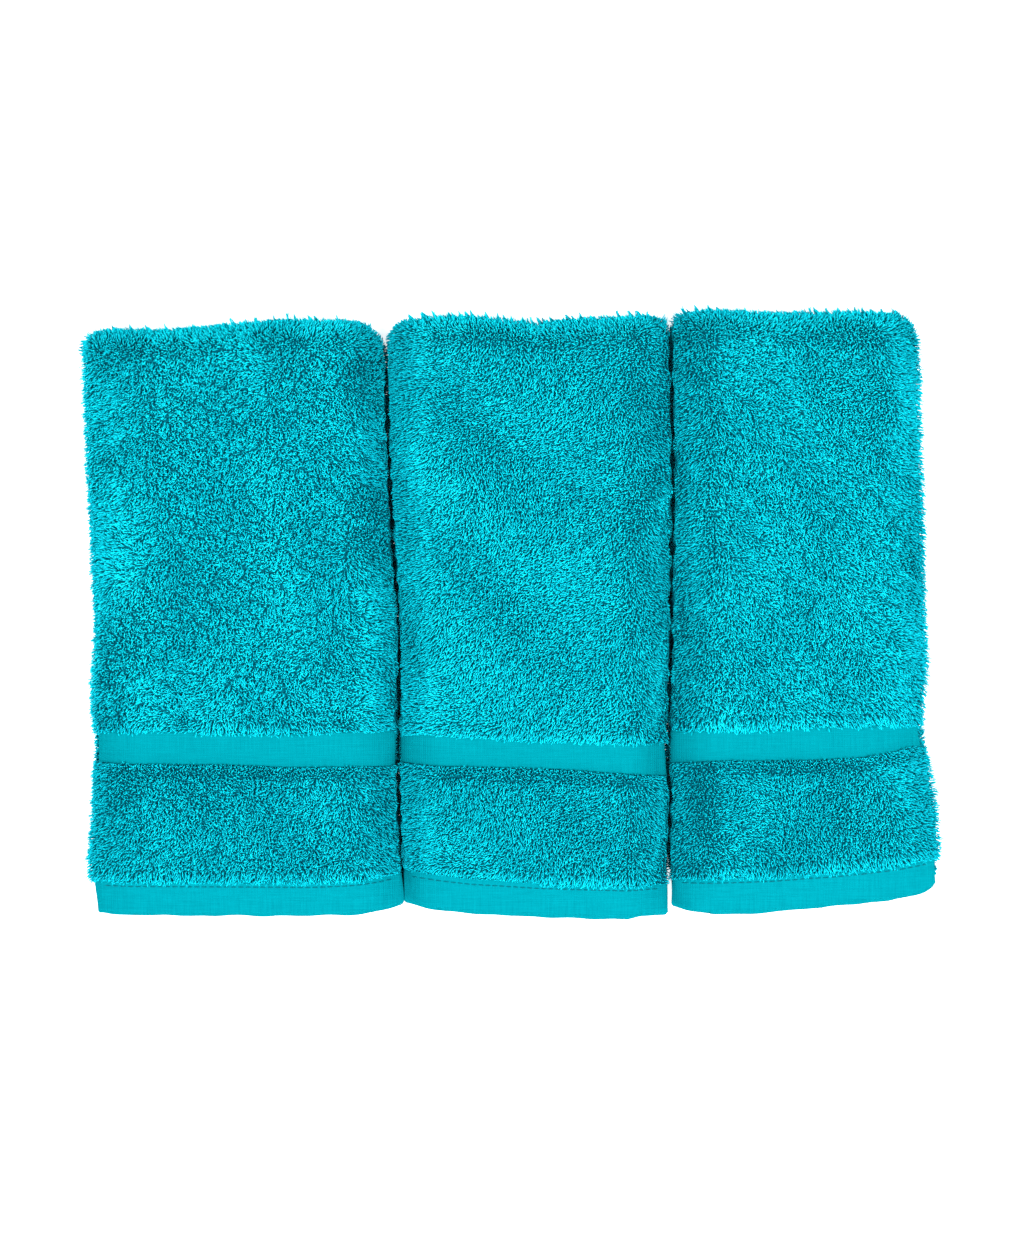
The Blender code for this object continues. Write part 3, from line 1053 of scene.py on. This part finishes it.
def between(left, right, y, z):
    """Where two towels meet, and how far the pile stays from there: x and a distance.

    Low down the sides touch and their pile meshes. Higher up they part, unevenly.
    """
    meeting = 0.5 * (left.right_edge(y) + right.left_edge(y))
    meeting = meeting + 0.5 * MM * wave_noise(y, 2 * z, 15 * MM, left.seed + 12)
    apart = smooth((z - MESHED_BELOW) / (APART_ABOVE - MESHED_BELOW))
    uneven = 0.9 + 0.5 * wave_noise(y, z, 14 * MM, left.seed + 13)
    return meeting, (SIDE_GAP * uneven + SIDE_MESH) * apart - SIDE_MESH


def presses(towel, left_neighbour, right_neighbour):
    """Two ways to press tufts in: beside the next towel and the surface, and also below a third."""
    meetings = ((left_neighbour, towel, -1), (towel, right_neighbour, 1))
    meetings = [meeting for meeting in meetings if None not in meeting]

    def press(points):
        x, y, z = points[..., 0], points[..., 1], points[..., 2]
        for left, right, sign in meetings:
            line = 0.5 * (left.right_edge(y) + right.left_edge(y))
            close = sign * (x - line) > -5 * MM
            wall, gap = between(left, right, y[close], z[close])
            over = sign * (x[close] - wall) + gap
            x[close] -= sign * 0.8 * np.maximum(over, 0)
        z[...] = np.maximum(z, 0.2 * MM)
        return points

    def press_below(points):
        z = points[..., 2]
        z[...] = np.minimum(z, towel.roof(points[..., 0], points[..., 1]))
        return press(points)

    return press, press_below


TOWELS = [Towel(side, index) for index, side in enumerate(SIDES)]
for left_neighbour, towel, right_neighbour in zip([None] + TOWELS, TOWELS, TOWELS[1:] + [None]):
    build_towel(towel, *presses(towel, left_neighbour, right_neighbour))


# ---------- stage


def white_mesh(name, points, faces, material_name, glow):
    """A white thing for the stage, with a glow of its own."""
    mesh = bpy.data.meshes.new(name)
    mesh.from_pydata(points, [], faces)
    material = bpy.data.materials.new(material_name)
    material.use_nodes = True
    shader = material.node_tree.nodes["Principled BSDF"]
    shader.inputs["Base Color"].default_value = (0.9, 0.9, 0.9, 1)
    shader.inputs["Roughness"].default_value = 0.9
    shader.inputs["Emission Color"].default_value = (1, 1, 1, 1)
    shader.inputs["Emission Strength"].default_value = glow
    mesh.materials.append(material)
    return linked(name, mesh)


def add_floor():
    size = FLOOR_HALF
    points = [(-size, -size, 0), (size, -size, 0), (size, size, 0), (-size, size, 0)]
    white_mesh("floor", points, [(0, 1, 2, 3)], "pale_floor", 0.7)


def add_backdrop():
    """A white wall all round, which the camera sees and which doesn't change the light."""
    sides = WALL_SIDES
    corners = [(math.tau * i / sides, z) for z in (0.0, WALL_HEIGHT) for i in range(sides)]
    points = [(WALL_RADIUS * math.cos(turn), WALL_RADIUS * math.sin(turn), z) for turn, z in corners]
    quads = [(i, (i + 1) % sides, (i + 1) % sides + sides, i + sides) for i in range(sides)]
    backdrop = white_mesh("backdrop", points, quads, "white_wall", 1.0)
    backdrop.visible_diffuse = False
    backdrop.visible_glossy = False
    backdrop.visible_shadow = False


def add_light(name, place, size, energy):
    """A square lamp that points at the middle of the row."""
    data = bpy.data.lights.new(name, "AREA")
    data.shape, data.size, data.energy = "SQUARE", size, energy
    light = linked(name, data)
    light.location = place
    direction = -light.location.normalized()
    light.rotation_euler = direction.to_track_quat("-Z", "Y").to_euler()


def add_world():
    world = bpy.data.worlds.new("studio")
    world.use_nodes = True
    background = world.node_tree.nodes["Background"]
    background.inputs["Color"].default_value = (1, 1, 1, 1)
    background.inputs["Strength"].default_value = 0.42
    bpy.context.scene.world = world
    bpy.context.scene.view_settings.view_transform = "Standard"


def add_camera():
    data = bpy.data.cameras.new("camera")
    data.sensor_width = SENSOR
    data.lens = SENSOR * (CAMERA_HEIGHT - STACK) / VIEW_HEIGHT
    camera = linked("camera", data)
    camera.location = (0.0, VIEW_CENTRE, CAMERA_HEIGHT)
    bpy.context.scene.camera = camera


add_floor()
add_backdrop()
add_light("left", (-1.3, -0.3, 2.7), 0.8, 86.0)
add_light("right", (1.4, -0.5, 2.7), 0.8, 104.0)
add_light("front", (0.5, -2.2, 1.7), 1.5, 20.0)
add_world()
add_camera()
